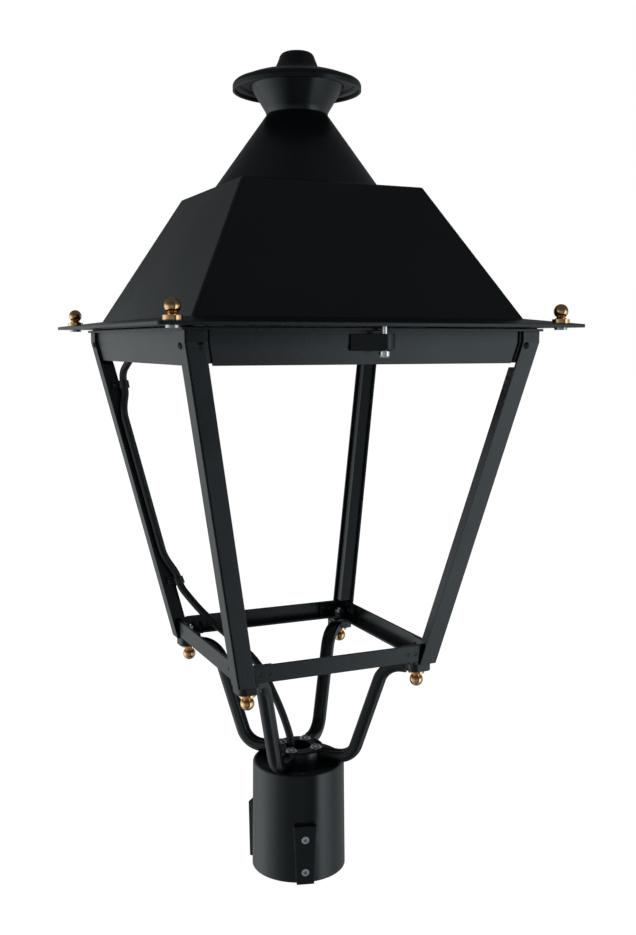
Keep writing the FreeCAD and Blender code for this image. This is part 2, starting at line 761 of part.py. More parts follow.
def leg(name, turn, clip_holes):
    """A tapered post of the frame: an outer angle around a square hollow core."""
    body = new_body("leg_bar_" + name)
    core_foot = frame_foot + rail_height + leg_core_gap
    core_top = kink_height - apron_height - bracket_margin * 2
    core_low = leg_half_at(core_foot)
    core_high = leg_half_at(core_top)
    upper = loft(body, leg_angle(leg_half_at(pad_top)), pad_top, leg_angle(leg_head_half), kink_height)
    pad(body, upper, leg_straight_height)
    sunk = leg_wall / 2
    loft(body, leg_square(core_low, sunk, leg_core), core_foot,
         leg_square(core_high, sunk, leg_core), core_top)
    hollow_top = core_top - leg_core_wall
    hollow_high = leg_core - leg_core_wall
    loft(body, leg_square(core_low, leg_wall, hollow_high), core_foot,
         leg_square(leg_half_at(hollow_top), leg_wall, hollow_high), hollow_top, subtract=True)
    drilled = cut("leg_cut_" + name, body, leg_screw_drills("leg_" + name))
    drilled.Placement = FreeCAD.Placement(V(0, 0, 0), FreeCAD.Rotation(Z_AXIS, turn))
    if clip_holes:
        drilled = cut("leg_clip_cut", drilled, clip_holes)
    return node(drilled, "leg_" + name)


def corner_brackets():
    """Four cast angles that join legs and apron inside the top corners."""
    inner = leg_wall
    behind = leg_wall + apron_setback + apron_wall
    face = behind + bracket_wall
    step = leg_width + apron_end_gap - 2

    def section(half):
        steps = [(inner, inner), (step, inner), (step, behind), (bracket_arm, behind),
                 (bracket_arm, face), (face, face), (face, bracket_arm), (behind, bracket_arm),
                 (behind, step), (inner, step)]
        return [(half - u, half - v) for u, v in steps]

    low = kink_height - apron_height + bracket_margin
    pieces = []
    for index in range(4):
        body = new_body("bracket_%d" % index)
        upper = loft(body, section(leg_half_at(low)), low, section(leg_head_half), kink_height)
        pad(body, upper, leg_straight_height)
        drilled = cut("bracket_cut_%d" % index, body, leg_screw_drills("bracket_%d" % index))
        drilled.Placement = FreeCAD.Placement(V(0, 0, 0), FreeCAD.Rotation(Z_AXIS, 90 * index))
        pieces.append(drilled)
    return node(group("bracket_group", pieces), "corner_brackets")


def rail(name, turn):
    """A bottom rail on the front side, turned to its own side."""
    body = new_body("rail_bar_" + name)
    face = leg_foot_half - leg_wall
    low_end = leg_half_at(frame_foot) - leg_width - rail_end_gap
    high_end = leg_half_at(frame_foot + rail_height) - leg_width - rail_end_gap
    wall = sketch_on(body, "XZ_Plane", face - rail_wall)
    top = frame_foot + rail_height
    outline(wall, [(-low_end, frame_foot), (low_end, frame_foot), (high_end, top), (-high_end, top)])
    pad(body, wall, rail_wall)
    shelf = sketch_on(body, "XY_Plane", frame_foot)
    shelf_end = low_end - shelf_inset
    shelf_tip = shelf_end - shelf_taper
    outline(shelf, [(-shelf_end, -face), (shelf_end, -face), (shelf_tip, rail_shelf - face),
                    (-shelf_tip, rail_shelf - face)])
    pad(body, shelf, rail_wall)
    ends = []
    for corner in range(2):
        label = "%s_%d" % (name, corner)
        drills = group("rail_end_" + label, [rail_screw_drills("rail_" + label)])
        drills.Placement = FreeCAD.Placement(V(0, 0, 0), FreeCAD.Rotation(Z_AXIS, -180 + 90 * corner))
        ends.append(drills)
    drilled = cut("rail_cut_" + name, body, fuse("rail_ends_" + name, ends))
    drilled.Placement = FreeCAD.Placement(V(0, 0, 0), FreeCAD.Rotation(Z_AXIS, turn))
    return node(drilled, "rail_" + name)


def apron(name, turn):
    """A top side of the frame: slanted face, straight head and the seat that carries the gasket."""
    body = new_body("apron_sheet_" + name)
    depth = leg_wall + apron_setback
    inset = leg_width + apron_end_gap

    def section(half):
        return [(inset - half, depth - half), (half - inset, depth - half),
                (half - inset, depth + apron_wall - half), (inset - half, depth + apron_wall - half)]

    low = kink_height - apron_height
    upper = loft(body, section(leg_half_at(low)), low, section(leg_head_half), kink_height)
    head = pad(body, upper, leg_straight_height)
    face = depth - leg_head_half
    rounded_edges(body, head, apron_bend,
                  lambda e: e.BoundBox.ZLength < 1e-3 and abs(e.BoundBox.ZMax - kink_height.value) < 1e-3
                  and e.BoundBox.XLength > 50 and abs(e.BoundBox.YMax - face.value) < 1e-3)
    seat = sketch_on(body, "XY_Plane", ring_under)
    far = leg_head_half + ring_overhang
    outline(seat, [(-far, -far), (far, -far), (ring_opening_half, -ring_opening_half),
                   (-ring_opening_half, -ring_opening_half)])
    pad(body, seat, ring_thickness)
    body.Placement = FreeCAD.Placement(V(0, 0, 0), FreeCAD.Rotation(Z_AXIS, turn))
    return node(body, "apron_" + name)


def leg_screws():
    """Eight black screws through the legs into the corner brackets."""
    made = []
    for index in range(4):
        for face, (x, y, height, direction) in enumerate(leg_screw_places()):
            name = "leg_screw_%d_%d" % (index, face)
            screw = pan_screw(name, small_screw_radius, small_shank, leg_screw_length)
            posed = aimed(name + "_set", screw, x, y, height, direction, 30.0 * index + 15)
            whole = group(name + "_turned", [posed])
            whole.Placement = FreeCAD.Placement(V(0, 0, 0), FreeCAD.Rotation(Z_AXIS, 90 * index))
            made.append(whole)
    return node(group("leg_screw_group", made), "leg_screws")


def rail_screw_places():
    """Places and inward directions of the four screws through the cleat at the +X +Y corner."""
    face = leg_foot_half - leg_wall - rail_wall - cleat_wall
    height = frame_foot + rail_screw_height
    spots = []
    for step in range(2):
        along = leg_foot_half - cleat_reach + rail_screw_edge + rail_screw_spacing * step
        spots.append((face, along, height, (-1, 0, 0)))
        spots.append((along, face, height, (0, -1, 0)))
    return spots


def rail_screw_drills(name):
    """Holes for the screws at the +X +Y corner, through cleat and rail."""
    holes = []
    for index, (x, y, height, direction) in enumerate(rail_screw_places()):
        label = "%s_bore_%d" % (name, index)
        drill = tube(label, small_shank + thread_fit, drill_length, z=-drill_back)
        holes.append(aimed(label + "_set", drill, x, y, height, direction))
    return fuse(name + "_bores", holes)


def rail_screws():
    """Sixteen black screws that hold the rails to the cleats."""
    made = []
    for corner in range(4):
        for index, (x, y, height, direction) in enumerate(rail_screw_places()):
            name = "rail_screw_%d_%d" % (corner, index)
            screw = pan_screw(name, small_screw_radius, small_shank, rail_screw_length)
            posed = aimed(name + "_set", screw, x, y, height, direction, 25.0 * index + 10)
            whole = group(name + "_turned", [posed])
            whole.Placement = FreeCAD.Placement(V(0, 0, 0), FreeCAD.Rotation(Z_AXIS, 90 * corner))
            made.append(whole)
    return node(group("rail_screw_group", made), "rail_screws")


def roof_gasket():
    outer = leg_head_half + ring_overhang - gasket_inset
    inner = ring_opening_half + gasket_inset
    body = new_body("gasket_strip")
    face = sketch_on(body, "XY_Plane", ring_top)
    outline(face, square(outer))
    outline(face, square(inner))
    pad(body, face, gasket_thickness)
    return node(body, "roof_gasket")


# ---------------------------------------------------------------- finials
def finial(name, x, y, z, up):
    """A brass ball on a neck and collar, standing up or hanging down from z."""
    collar = tube(name + "_collar", collar_radius, collar_height)
    waist = cone(name + "_waist", collar_radius * 0.75, neck_radius, neck_height, z=collar_height)
    knob = ball(name + "_ball", ball_radius, z=collar_height + neck_height * 0.3 + ball_radius)
    whole = fuse(name + "_whole", [collar, waist, knob])
    stud_hole = tube(name + "_tap", stud_radius + thread_fit, 8, z=-1)
    return aimed(name + "_set", cut(name + "_cut", whole, stud_hole), x, y, z, (0, 0, 1 if up else -1))


def stud(name, x, y, low, high, head_at_low):
    """A finial's stud with a domed nut at its lower or upper end."""
    bar = tube(name + "_bar", stud_radius, high - low, x, y, low)
    if head_at_low:
        nut = tube(name + "_nut", stud_radius * 2, stud_head, x, y, low - stud_head)
        return fuse(name, [bar, nut])
    nut = doc.addObject("Part::Prism", name + "_nut")
    nut.Polygon = 6
    bind(nut, Circumradius=stud_radius * nut_factor, Height=nut_thickness)
    place(nut, x, y, high - nut_thickness - nut_end)
    return fuse(name, [bar, nut])


def finials():
    stud_top = frame_foot + rail_wall + cleat_floor + nut_thickness + nut_end
    top_places = on_corners(finial_half, finial_half)
    low_places = on_corners(foot_bolt_half, foot_bolt_half)
    node(group("top_finials", [finial("top_finial_%d" % i, x, y, seat, True)
                               for i, (x, y) in enumerate(top_places)]), "roof_finials")
    node(group("top_studs", [stud("top_stud_%d" % i, x, y, roof_under, seat + 5, True)
                             for i, (x, y) in enumerate(top_places)]), "roof_finial_screws")
    node(group("low_finials", [finial("low_finial_%d" % i, x, y, pad_height, False)
                               for i, (x, y) in enumerate(low_places)]), "foot_finials")
    node(group("low_studs", [stud("low_stud_%d" % i, x, y, pad_height - 5, stud_top, False)
                             for i, (x, y) in enumerate(low_places)]), "foot_finial_studs")


# ---------------------------------------------------------------- roof
def canopy():
    """The roof casting: sloped flange, hollow pyramid and four inner bosses for the gear tray."""
    body = new_body("canopy_casting")
    rim = sketch_on(body, "XY_Plane", roof_under)
    outline(rim, square(roof_half))
    pad(body, rim, roof_edge)
    loft(body, square(roof_half), roof_edge_top, square(canopy_base_half), canopy_foot)
    loft(body, square(canopy_base_half), canopy_foot, square(canopy_top_half), canopy_top)
    settle()
    shell = body.Tip

    def ridge(edge):
        return edge.BoundBox.ZLength > 50

    def brow(edge):
        return edge.BoundBox.ZLength < 1e-3 and abs(edge.BoundBox.ZMax - canopy_top.value) < 1e-3

    def corner(edge):
        return is_upright(edge) and abs(edge.BoundBox.ZLength - roof_edge.value) < 1e-3

    rounded = rounded_edges(body, shell, canopy_ridge_round, lambda e: ridge(e) or brow(e))
    rounded_edges(body, rounded, roof_corner_round, corner)
    inside_foot = canopy_base_half - canopy_wall
    inside_top = canopy_top_half - canopy_wall
    well = sketch_on(body, "XY_Plane", roof_under)
    outline(well, square(inside_foot))
    pocket(body, well, canopy_foot - roof_under, backwards=True)
    loft(body, square(inside_foot), canopy_foot, square(inside_top), canopy_top - canopy_wall,
         subtract=True)
    drill = sketch_on(body, "XY_Plane", canopy_top + 1)
    circles(drill, [(0, 0)], tie_radius + thread_fit)
    pocket(body, drill, canopy_wall + 2)
    studs = sketch_on(body, "XY_Plane", roof_under)
    circles(studs, on_corners(finial_half, finial_half), stud_radius + thread_fit)
    pocket(body, studs, roof_edge + roof_edge_rise + 2, backwards=True)
    lock = sketch_on(body, "XY_Plane", roof_under)
    circles(lock, [(lock_place, -lock_line)], lock_radius + pilot_gap)
    pocket(body, lock, lock_bite + pilot_gap, backwards=True)
    boss_at = tray_half - tray_screw_inset
    posts = []
    for index, (x, y) in enumerate(on_corners(boss_at, boss_at)):
        posts.append(tube("tray_post_%d" % index, 6, 42, x, y, tray_top))
    trimmed = []
    outer = new_body("post_limit")
    loft(outer, square(canopy_base_half - 1), canopy_foot - 20, square(canopy_base_half - 1), canopy_foot)
    loft(outer, square(canopy_base_half - 1), canopy_foot, square(canopy_top_half - 1), canopy_top)
    for index, post in enumerate(posts):
        item = doc.addObject("Part::Common", "post_common_%d" % index)
        item.Base = post
        item.Tool = outer
        trimmed.append(item)
    faced = body
    for index in range(4):
        spot = tube("finial_seat_%d" % index, collar_radius + thread_fit, roof_edge_rise, finial_half,
                    finial_half, seat)
        turned_spot = group("finial_seat_turned_%d" % index, [spot])
        turned_spot.Placement = FreeCAD.Placement(V(0, 0, 0), FreeCAD.Rotation(Z_AXIS, 90 * index))
        faced = cut("canopy_faced_%d" % index, faced, turned_spot)
    return node(fuse("canopy_whole", [faced] + trimmed), "roof_canopy")


def chimney():
    body = new_body("cone_spun")
    wall = sheet_wall
    turned(body, [(cone_foot_radius, canopy_top), (cone_foot_radius, canopy_top + 1.2),
                  (cone_neck_radius + 1.5, cone_top - 2.5), (cone_neck_radius, cone_top, -6),
                  (tie_radius + thread_fit, cone_top), (tie_radius + thread_fit, cone_top - wall),
                  (cone_neck_radius - wall, cone_top - wall),
                  (cone_foot_radius - wall * 1.4, canopy_top)])
    node(body, "chimney_cone")
    body = new_body("funnel_spun")
    foot = cone_top
    turned(body, [(tie_radius + thread_fit, foot), (funnel_foot_radius - 1.5, foot),
                  (funnel_foot_radius, foot + 1.5, 1.5), (funnel_foot_radius + 2.2, foot + 6, -20),
                  (funnel_top_radius, funnel_top), (funnel_top_radius - wall, funnel_top),
                  (funnel_foot_radius - 1.2, foot + wall), (tie_radius + thread_fit, foot + wall)])
    node(body, "chimney_funnel")


def rain_cap():
    """The cap: a dome with a rolled rim, a flared knob on top and a hub for the tie rod."""
    body = new_body("cap_spun")
    wall = sheet_wall
    lip = cap_lip
    brow = lip + cap_rim_height + cap_rim_round
    dome = lip + cap_dome_rise
    top = lip + knob_rise
    shoulder = cap_radius - cap_rim_round
    screw_hole = tie_radius + thread_fit
    hub = tie_radius * 2
    under = dome - wall - 0.6
    turned(body, [(cap_radius - wall, lip), (cap_radius, lip), (cap_radius, lip + cap_rim_height),
                  (shoulder, brow, cap_rim_round), (knob_foot_radius, dome, 80),
                  (knob_radius, dome + 8.5, -14), (knob_radius - 2.2, top - 6), (knob_radius - 9, top, 7),
                  (0, top), (0, top - 9), (screw_hole, top - 9), (screw_hole, top - 24), (hub, top - 24),
                  (hub, top - wall - 3), (knob_radius - 6, top - wall - 5), (knob_radius - wall, dome + 7),
                  (knob_foot_radius - 3, under), (shoulder - 1.4, brow - wall, -80),
                  (cap_radius - wall, lip + cap_rim_height, -cap_rim_round)])
    return node(body, "rain_cap")


def tie_rod():
    low = canopy_top - canopy_wall - 12
    high = cap_lip + knob_rise - 10
    bar = tube("tie_bar", tie_radius, high - low, z=low)
    nut = doc.addObject("Part::Prism", "tie_nut")
    nut.Polygon = 6
    bind(nut, Circumradius=tie_radius * 1.85, Height=6.5)
    place(nut, z=canopy_top - canopy_wall - 8.5)
    washer = tube("tie_washer", tie_radius * 3, 2, z=canopy_top - canopy_wall - 2)
    hole = tube("tie_nut_hole", tie_radius + thread_fit, 40, z=low - 5)
    nuts = cut("tie_nut_cut", fuse("tie_nut_blank", [nut, washer]), hole)
    node(group("tie_group", [bar, nuts]), "chimney_tie_rod")


# ---------------------------------------------------------------- latch and hinge
def latch_housing():
    """A wedge-shaped lug on the front apron that carries the roof's locking screw."""
    high = kink_height + leg_straight_height - latch_gap
    low = high - latch_height
    depth = leg_wall + apron_setback
    back_high = leg_head_half - depth
    back_low = leg_half_at(low) - depth
    face = back_high + latch_depth
    slab = new_body("latch_slab")
    side = sketch_on(slab, "YZ_Plane", latch_left)
    outline(side, [(-face, low), (-back_low, low), (-back_high, kink_height), (-back_high, high),
                   (-face, high)])
    pad(slab, side, latch_right - latch_left)
    form = new_body("latch_form")
    plan = sketch_on(form, "XY_Plane", low)
    toe = back_high + latch_toe
    centre = V((latch_right - latch_round).value, -(face - latch_round).value, 0)
    reach = V(latch_left.value, -toe.value, 0) - centre
    swing = math.atan2(-reach.y, -reach.x) - math.asin(latch_round.value / reach.Length)
    normal = V(math.sin(swing), -math.cos(swing), 0)
    touch = centre + normal * latch_round.value
    outline(plan, [(latch_left, -back_low + 1), (latch_left, -toe), (touch.x, touch.y),
                   (latch_right, -(face - latch_round), latch_round), (latch_right, -back_low + 1)])
    block = pad(form, plan, latch_height)
    rounded_edges(form, block, latch_edge,
                  lambda e: e.BoundBox.ZLength < 1e-3 and e.BoundBox.ZMax < low.value + 1
                  and e.BoundBox.YMin < -toe.value - 1)
    lug = doc.addObject("Part::MultiCommon", "latch_blank")
    lug.Shapes = [slab, form]
    bore = tube("latch_bore", lock_radius + running_gap, latch_height + 4, lock_place, -lock_line, low - 2)
    return node(cut("latch_cut", lug, bore), "latch_lug")


def lock_screw():
    """The captive screw that draws the roof down, with its head below the lug."""
    low = kink_height + leg_straight_height - latch_gap - latch_height
    under = low - lock_head_gap - lock_head_height
    bevel = lock_head_radius * 0.28
    head = tube("lock_head", lock_head_radius, lock_head_height, lock_place, -lock_line, under)
    rim = cone("lock_rim", lock_head_radius - bevel, lock_head_radius, bevel, lock_place, -lock_line,
               under - bevel)
    shank = tube("lock_shank", lock_radius, roof_under + lock_bite - low + 1, lock_place, -lock_line,
                 low - 1)
    slot = box("lock_slot", lock_place - lock_head_radius, -lock_line - 0.7, under - bevel - 1,
               lock_head_radius * 2, 1.4, bevel + 2)
    whole = fuse("lock_blank", [head, rim, shank])
    return node(cut("lock_cut", whole, slot), "lock_screw")


def hinge():
    """Two butt hinges at the back: leaves on the apron, knuckles under the roof flange, and pins."""
    axis_y = leg_head_half + hinge_setback
    axis_z = roof_under - hinge_drop
    apron_face = leg_head_half - leg_wall - apron_setback
    fixed = []
    moving = []
    pins = []
    for index, side in enumerate((-1, 1)):
        start = hinge_place * side - knuckle_width / 2
        label = "hinge_%d" % index

        def barrel(name, offset, width, radius):
            item = doc.addObject("Part::Cylinder", label + name)
            item.Placement = FreeCAD.Placement(V(0, 0, 0), FreeCAD.Rotation(V(0, 1, 0), 90))
            bind(item, Radius=radius, Height=width)
            return place(item, start + offset, axis_y, axis_z)

        strap = box(label + "_strap", start, apron_face, axis_z - knuckle_radius, knuckle_width,
                    axis_y - apron_face, 3.2)
        plate = box(label + "_plate", start - 6, apron_face, kink_height + 0.5, knuckle_width + 12, 2.4,
                    leg_straight_height - 1.2)
        lug = fuse(label + "_lug", [strap, plate, barrel("_knuckle", 0, knuckle_width, knuckle_radius)])
        bore = barrel("_bore", -5, knuckle_width + 10, pin_radius + thread_fit)
        fixed.append(cut(label + "_fixed", lug, bore))
        for part, offset in (("_a", -eye_width - eye_gap), ("_b", knuckle_width + eye_gap)):
            hanger = box(label + part + "_hanger", start + offset, axis_y - 2.2, axis_z, eye_width, 4.4,
                         roof_under - axis_z)
            knuckle = barrel(part + "_eye", offset, eye_width, knuckle_radius)
            blank = fuse(label + part + "_blank", [hanger, knuckle])
            moving.append(cut(label + part + "_moving", blank,
                              barrel(part + "_hole", offset - 2, eye_width + 4, pin_radius + thread_fit)))
        reach = eye_width + eye_gap + 1
        pins.append(barrel("_pin", -reach, knuckle_width + reach * 2, pin_radius))
    node(group("hinge_fixed_group", fixed), "hinge_frame_leaves")
    node(group("hinge_moving_group", moving), "hinge_roof_eyes")
    node(group("hinge_pin_group", pins), "hinge_pins")


# ---------------------------------------------------------------- light engine
def gear_tray():
    body = new_body("tray_plate")
    face = sketch_on(body, "XY_Plane", tray_under)
    outline(face, square(tray_half))
    pad(body, face, tray_thickness)
    window = sketch_on(body, "XY_Plane", tray_top + 1)
    outline(window, square(engine_half - 6))
    reach = tray_half - tray_screw_inset
    circles(window, on_corners(reach, reach), 2.2)
    pocket(body, window, tray_thickness + 2)
    node(body, "gear_tray")
    screws = []
    for index, (x, y) in enumerate(on_corners(reach, reach)):
        screw = pan_screw("tray_screw_%d" % index, small_screw_radius + 1, 2.1, tray_thickness)
        screws.append(aimed("tray_screw_set_%d" % index, screw, x, y, tray_under, (0, 0, -1), 20.0 * index))
    node(group("tray_screw_group", screws), "gear_tray_screws")


def heat_sink():
    body = new_body("sink_block")
    base = sketch_on(body, "XY_Plane", tray_top)
    outline(base, square(engine_half))
    pad(body, base, sink_base)
    comb = sketch_on(body, "XY_Plane", tray_top + sink_base)
    fins = 13
    pitch = (engine_half * 2 - 3) / (fins - 1)
    for index in range(fins):
        x = pitch * index - engine_half + 0.25
        outline(comb, [(x, -engine_half), (x + fin_wall, -engine_half), (x + fin_wall, engine_half),
                       (x, engine_half)])
    pad(body, comb, fin_height)
    foot = sketch_on(body, "XY_Plane", tray_top)
    outline(foot, square(engine_half - 7))
    item = pad(body, foot, tray_thickness)
    item.Reversed = True
    return node(body, "heat_sink")


def led_engine():
    body = new_body("board_plate")
    face = sketch_on(body, "XY_Plane", tray_under - board_thickness)
    outline(face, square(engine_half - 10))
    pad(body, face, board_thickness)
    count = 4
    pitch = (engine_half - 10) * 2 / count
    chips = []
    lenses = []
    lens_seat = tray_under - board_thickness
    cover = box("lens_plate", 10 - engine_half, 10 - engine_half, lens_seat - 3.4, engine_half * 2 - 20,
                engine_half * 2 - 20, 2.0)
    for row in range(count):
        for column in range(count):
            x = pitch * (row + 0.5) - engine_half + 10
            y = pitch * (column + 0.5) - engine_half + 10
            name = "%d_%d" % (row, column)
            chips.append(box("chip_" + name, x - 1.75, y - 1.75, lens_seat - 1.2, 3.5, 3.5, 1.2))
            dome = doc.addObject("Part::Ellipsoid", "lens_" + name)
            bind(dome, Radius1=6, Radius2=lens_radius, Radius3=lens_radius * 0.7, Angle1=-90, Angle2=0)
            place(dome, x, y, lens_seat - 3.0)
            lenses.append(dome)
    node(fuse("board_whole", [body] + chips), "led_board")
    node(fuse("lens_whole", [cover] + lenses), "lens_array")
    bezel = new_body("bezel_frame")
    face = sketch_on(bezel, "XY_Plane", tray_under - 5.2)
    outline(face, square(engine_half + 4))
    outline(face, square(engine_half - 9.7))
    pad(bezel, face, 5.2)
    node(bezel, "lens_bezel")


def control_gear():
    """Driver, surge protector, terminal block and mains plug on the roof's gear tray."""
    side = engine_half + 9
    driver = box("driver_case", -70, side, tray_top, 140, 50, 32)
    ears = box("driver_ears", -80, side + 12, tray_top, 160, 26, 2)
    node(fuse("driver_whole", [driver, ears]), "led_driver")
    surge = box("surge_case", side + 2, -35, tray_top, 36, 70, 26)
    node(surge, "surge_protector")
    block = box("terminal_body", -side - 28, -30, tray_top, 22, 60, 16)
    slots = [box("terminal_slot_%d" % i, -side - 30, -24 + i * 18, tray_top + 9, 30, 8, 12)
             for i in range(3)]
    node(cut("terminal_cut", block, fuse("terminal_slots", slots)), "terminal_block")


def disconnector():
    """A mains plug under the tray that leaves its socket on the frame as the roof opens."""
    blade_drop = 7
    reach = tray_under - (ring_top + 0.6)
    block = box("plug_block", -plug_x - plug_half, plug_y - 13, ring_top + 0.6, plug_half * 2, 26, reach)
    blades = []
    for index in range(3):
        x = -plug_x - 6 + 6 * index
        blades.append(box("plug_blade_%d" % index, x - 0.4, plug_y - 4, ring_top + 0.6 - blade_drop, 0.8, 8,
                          blade_drop + 1))
    node(fuse("plug_whole", [block] + blades), "mains_plug")
    low = ring_top - socket_height
    wall_face = leg_half_at(low + 4) - leg_wall - apron_setback - apron_wall
    base = box("socket_block", -plug_x - plug_half, plug_y - 15, low, plug_half * 2, 30, socket_height)
    tab = box("socket_tab", -wall_face + 0.6, plug_y - 15, low + 4, wall_face - 0.6 - plug_x, 12, 3)
    slots = []
    for index in range(3):
        x = -plug_x - 6 + 6 * index
        slots.append(box("socket_slot_%d" % index, x - 1.2, plug_y - 7, ring_top - blade_drop - 2.5,
                         2.4, 14, blade_drop + 6))
    inlet = tube("socket_inlet", cable_radius + thread_fit, 8, -plug_x, plug_y, low - 4)
    node(cut("socket_cut", fuse("socket_blank", [base, tab]), fuse("socket_slots", slots + [inlet])),
         "mains_socket")
    nut = tube("gland_nut", cable_radius + 4, gland_height, -plug_x, plug_y, low - gland_height)
    hole = tube("gland_hole", cable_radius + thread_fit, 12, -plug_x, plug_y, low - 10)
    node(cut("gland_cut", nut, hole), "cable_gland")
    return low


# ---------------------------------------------------------------- supply cable
def beside_leg(height, across, depth):
    """A point inside the back left leg, by its distances from the leg's two outer faces."""
    half = leg_half_at(height)
    return V((across - half).value, (half - depth).value, height.value)


def clips():
    """The cable's centre and upward direction at its two clips on the back left leg."""
    high = beside_leg(kink_height - clip_high_drop, clip_inset, clip_depth)
    low = beside_leg(kink_height - clip_low_drop, clip_inset, clip_depth)
    return [(high, V(-0.12, 0.17, 1).normalize()), (low, V(-0.30, 0.25, 1).normalize())]


def at_leg_face(name, source, number):
    """Put something drawn about +Z on the leg's inner face beside a clip, facing into the lantern."""
    height = kink_height - (clip_high_drop, clip_low_drop)[number]
    spot = beside_leg(height, clip_inset, leg_core + thread_fit)
    lean = (leg_head_half.value - leg_foot_half.value) / leg_slant_height.value
    return aimed(name, source, spot.x, spot.y, spot.z, (0, -1, lean))


def smooth_path(points, limits):
    """Straight runs joined by tangent arcs as large as the runs and the stated limits allow."""
    edges = []
    here = points[0]
    radii = []
    for before, spot, after, limit in zip(points, points[1:], points[2:], limits):
        into = (spot - before).normalize()
        out = (after - spot).normalize()
        turn = into.getAngle(out)
        run = min(0.48 * (spot - before).Length, 0.48 * (after - spot).Length) if limit is None else limit
        radii.append(run / math.tan(turn / 2))
        start = spot - into * run
        end = spot + out * run
        inward = (out - into).normalize()
        middle = spot + inward * (radii[-1] / math.cos(turn / 2) - radii[-1])
        edges.append(Part.LineSegment(here, start).toShape())
        edges.append(Part.Arc(start, middle, end).toShape())
        here = end
    edges.append(Part.LineSegment(here, points[-1]).toShape())
    return Part.Wire(edges), radii


def supply_cable(socket_low):
    """The supply cable: socket, two clips down the leg, then in one hanging bow to the hub."""
    (upper, rise), (lower, lean) = clips()
    start = V(-plug_x.value, plug_y.value, socket_low.value)
    lie = leg_core + cable_radius + running_gap
    mouth = V(-5, 4.5, hub_top.value)
    release = lower - lean * 9
    bow = [mouth + V((release.x - mouth.x) * share_x, (release.y - mouth.y) * share_y,
                     (release.z - mouth.z) * share_z) for share_x, share_y, share_z in CABLE_BOW]
    points = [start, start - Z_AXIS * (gland_height.value + cable_first_run.value), upper + rise * 13,
              upper - rise * 9, beside_leg(kink_height - clip_high_drop - 28, cable_inset, lie),
              beside_leg(kink_height - clip_low_drop + 28, cable_inset, lie), lower + lean * 9, release]
    points += bow + [mouth, mouth - Z_AXIS * cable_tail.value]
    limits = [cable_first_run.value, 9, 5, 12, 10, 5, 5] + [None] * (len(bow) + 1)
    wire, radii = smooth_path(points, limits)
    radius = cable_radius.value
    profile = Part.Wire([Part.Circle(points[0], V(0, 0, -1), radius).toShape()])
    sweep = Part.BRepOffsetAPI.MakePipeShell(wire)
    sweep.add(profile)
    sweep.build()
    sweep.makeSolid()
    solid = sweep.shape()
    print("cable length %.1f mm, bends %s mm" % (wire.Length, ", ".join("%.1f" % r for r in radii)))
    print("cable volume ratio %.4f" % (solid.Volume / (math.pi * radius ** 2 * wire.Length)))
    thing = doc.addObject("Part::Feature", "cable_sweep")
    thing.Shape = solid
    node(thing, "supply_cable")
    return points[-1]


def clip_holes():
    """Screw holes of the clips in the back left leg."""
    holes = []
    for number in range(2):
        name = "clip_hole_%d" % number
        drill = tube(name, clip_shank + thread_fit, 12, clip_screw_place - clip_inset, 0, -2.5)
        holes.append(at_leg_face(name + "_set", drill, number))
    return fuse("clip_hole_pair", holes)


def cable_clips():
    """Two ring clips, each on a block screwed to the inner lip of the back left leg."""
    made = []
    screws = []
    inner = cable_radius + thread_fit
    screw_x = clip_screw_place - clip_inset
    for number, (spot, way) in enumerate(clips()):
        name = "clip_%d" % number
        ring = tube(name + "_ring", inner + clip_wall, clip_length, z=-clip_length / 2)
        ring_set = aimed(name + "_ring_set", ring, spot.x, spot.y, spot.z, (way.x, way.y, way.z))
        hole = tube(name + "_hole", inner, 24, z=-12)
        hole_set = aimed(name + "_hole_set", hole, spot.x, spot.y, spot.z, (way.x, way.y, way.z))
        block = box(name + "_block", screw_x - 2.8, -clip_length / 2, 0, 9.2, clip_length, clip_block)
        drill = tube(name + "_drill", clip_shank + thread_fit, 12, screw_x, 0, -2)
        blank = fuse(name + "_blank", [ring_set, at_leg_face(name + "_block_set", block, number)])
        tools = fuse(name + "_holes", [hole_set, at_leg_face(name + "_drill_set", drill, number)])
        made.append(cut(name + "_cut", blank, tools))
        screw = pan_screw(name + "_fix", clip_head, clip_shank, 5.0)
        seat_screw = aimed(name + "_fix_seat", screw, screw_x, 0, clip_block, (0, 0, 1), 20)
        screws.append(at_leg_face(name + "_fix_set", seat_screw, number))
    node(group("clip_group", made), "cable_clips")
    node(group("clip_screw_group", screws), "clip_screws")


def cable_connector(end):
    """An in-line connector on the cable's end, in the hollow above the post."""
    body = tube("connector_body", 8, 22, end.x, end.y, end.z - 22)
    collar = tube("connector_collar", 10, 8, end.x, end.y, end.z - 14)
    node(fuse("connector_whole", [body, collar]), "cable_connector")


# ---------------------------------------------------------------- assembly
post_sleeve()
clamp_screws()
yoke_hub()
hub_screws()
foot_brackets()
for place_number, corner_name in enumerate(CORNERS):
    yoke_arm(corner_name, 45 + 90 * place_number)
    leg(corner_name, 90 * place_number, clip_holes() if corner_name == "back_left" else None)
for side_number, side_name in enumerate(SIDES):
    rail(side_name, 90 * side_number)
    apron(side_name, 90 * side_number)
corner_brackets()
leg_screws()
rail_screws()
roof_gasket()
finials()
canopy()
chimney()
rain_cap()
tie_rod()
latch_housing()
lock_screw()
hinge()
gear_tray()
heat_sink()
led_engine()
control_gear()
cable_end = supply_cable(disconnector())
cable_clips()
cable_connector(cable_end)
settle()

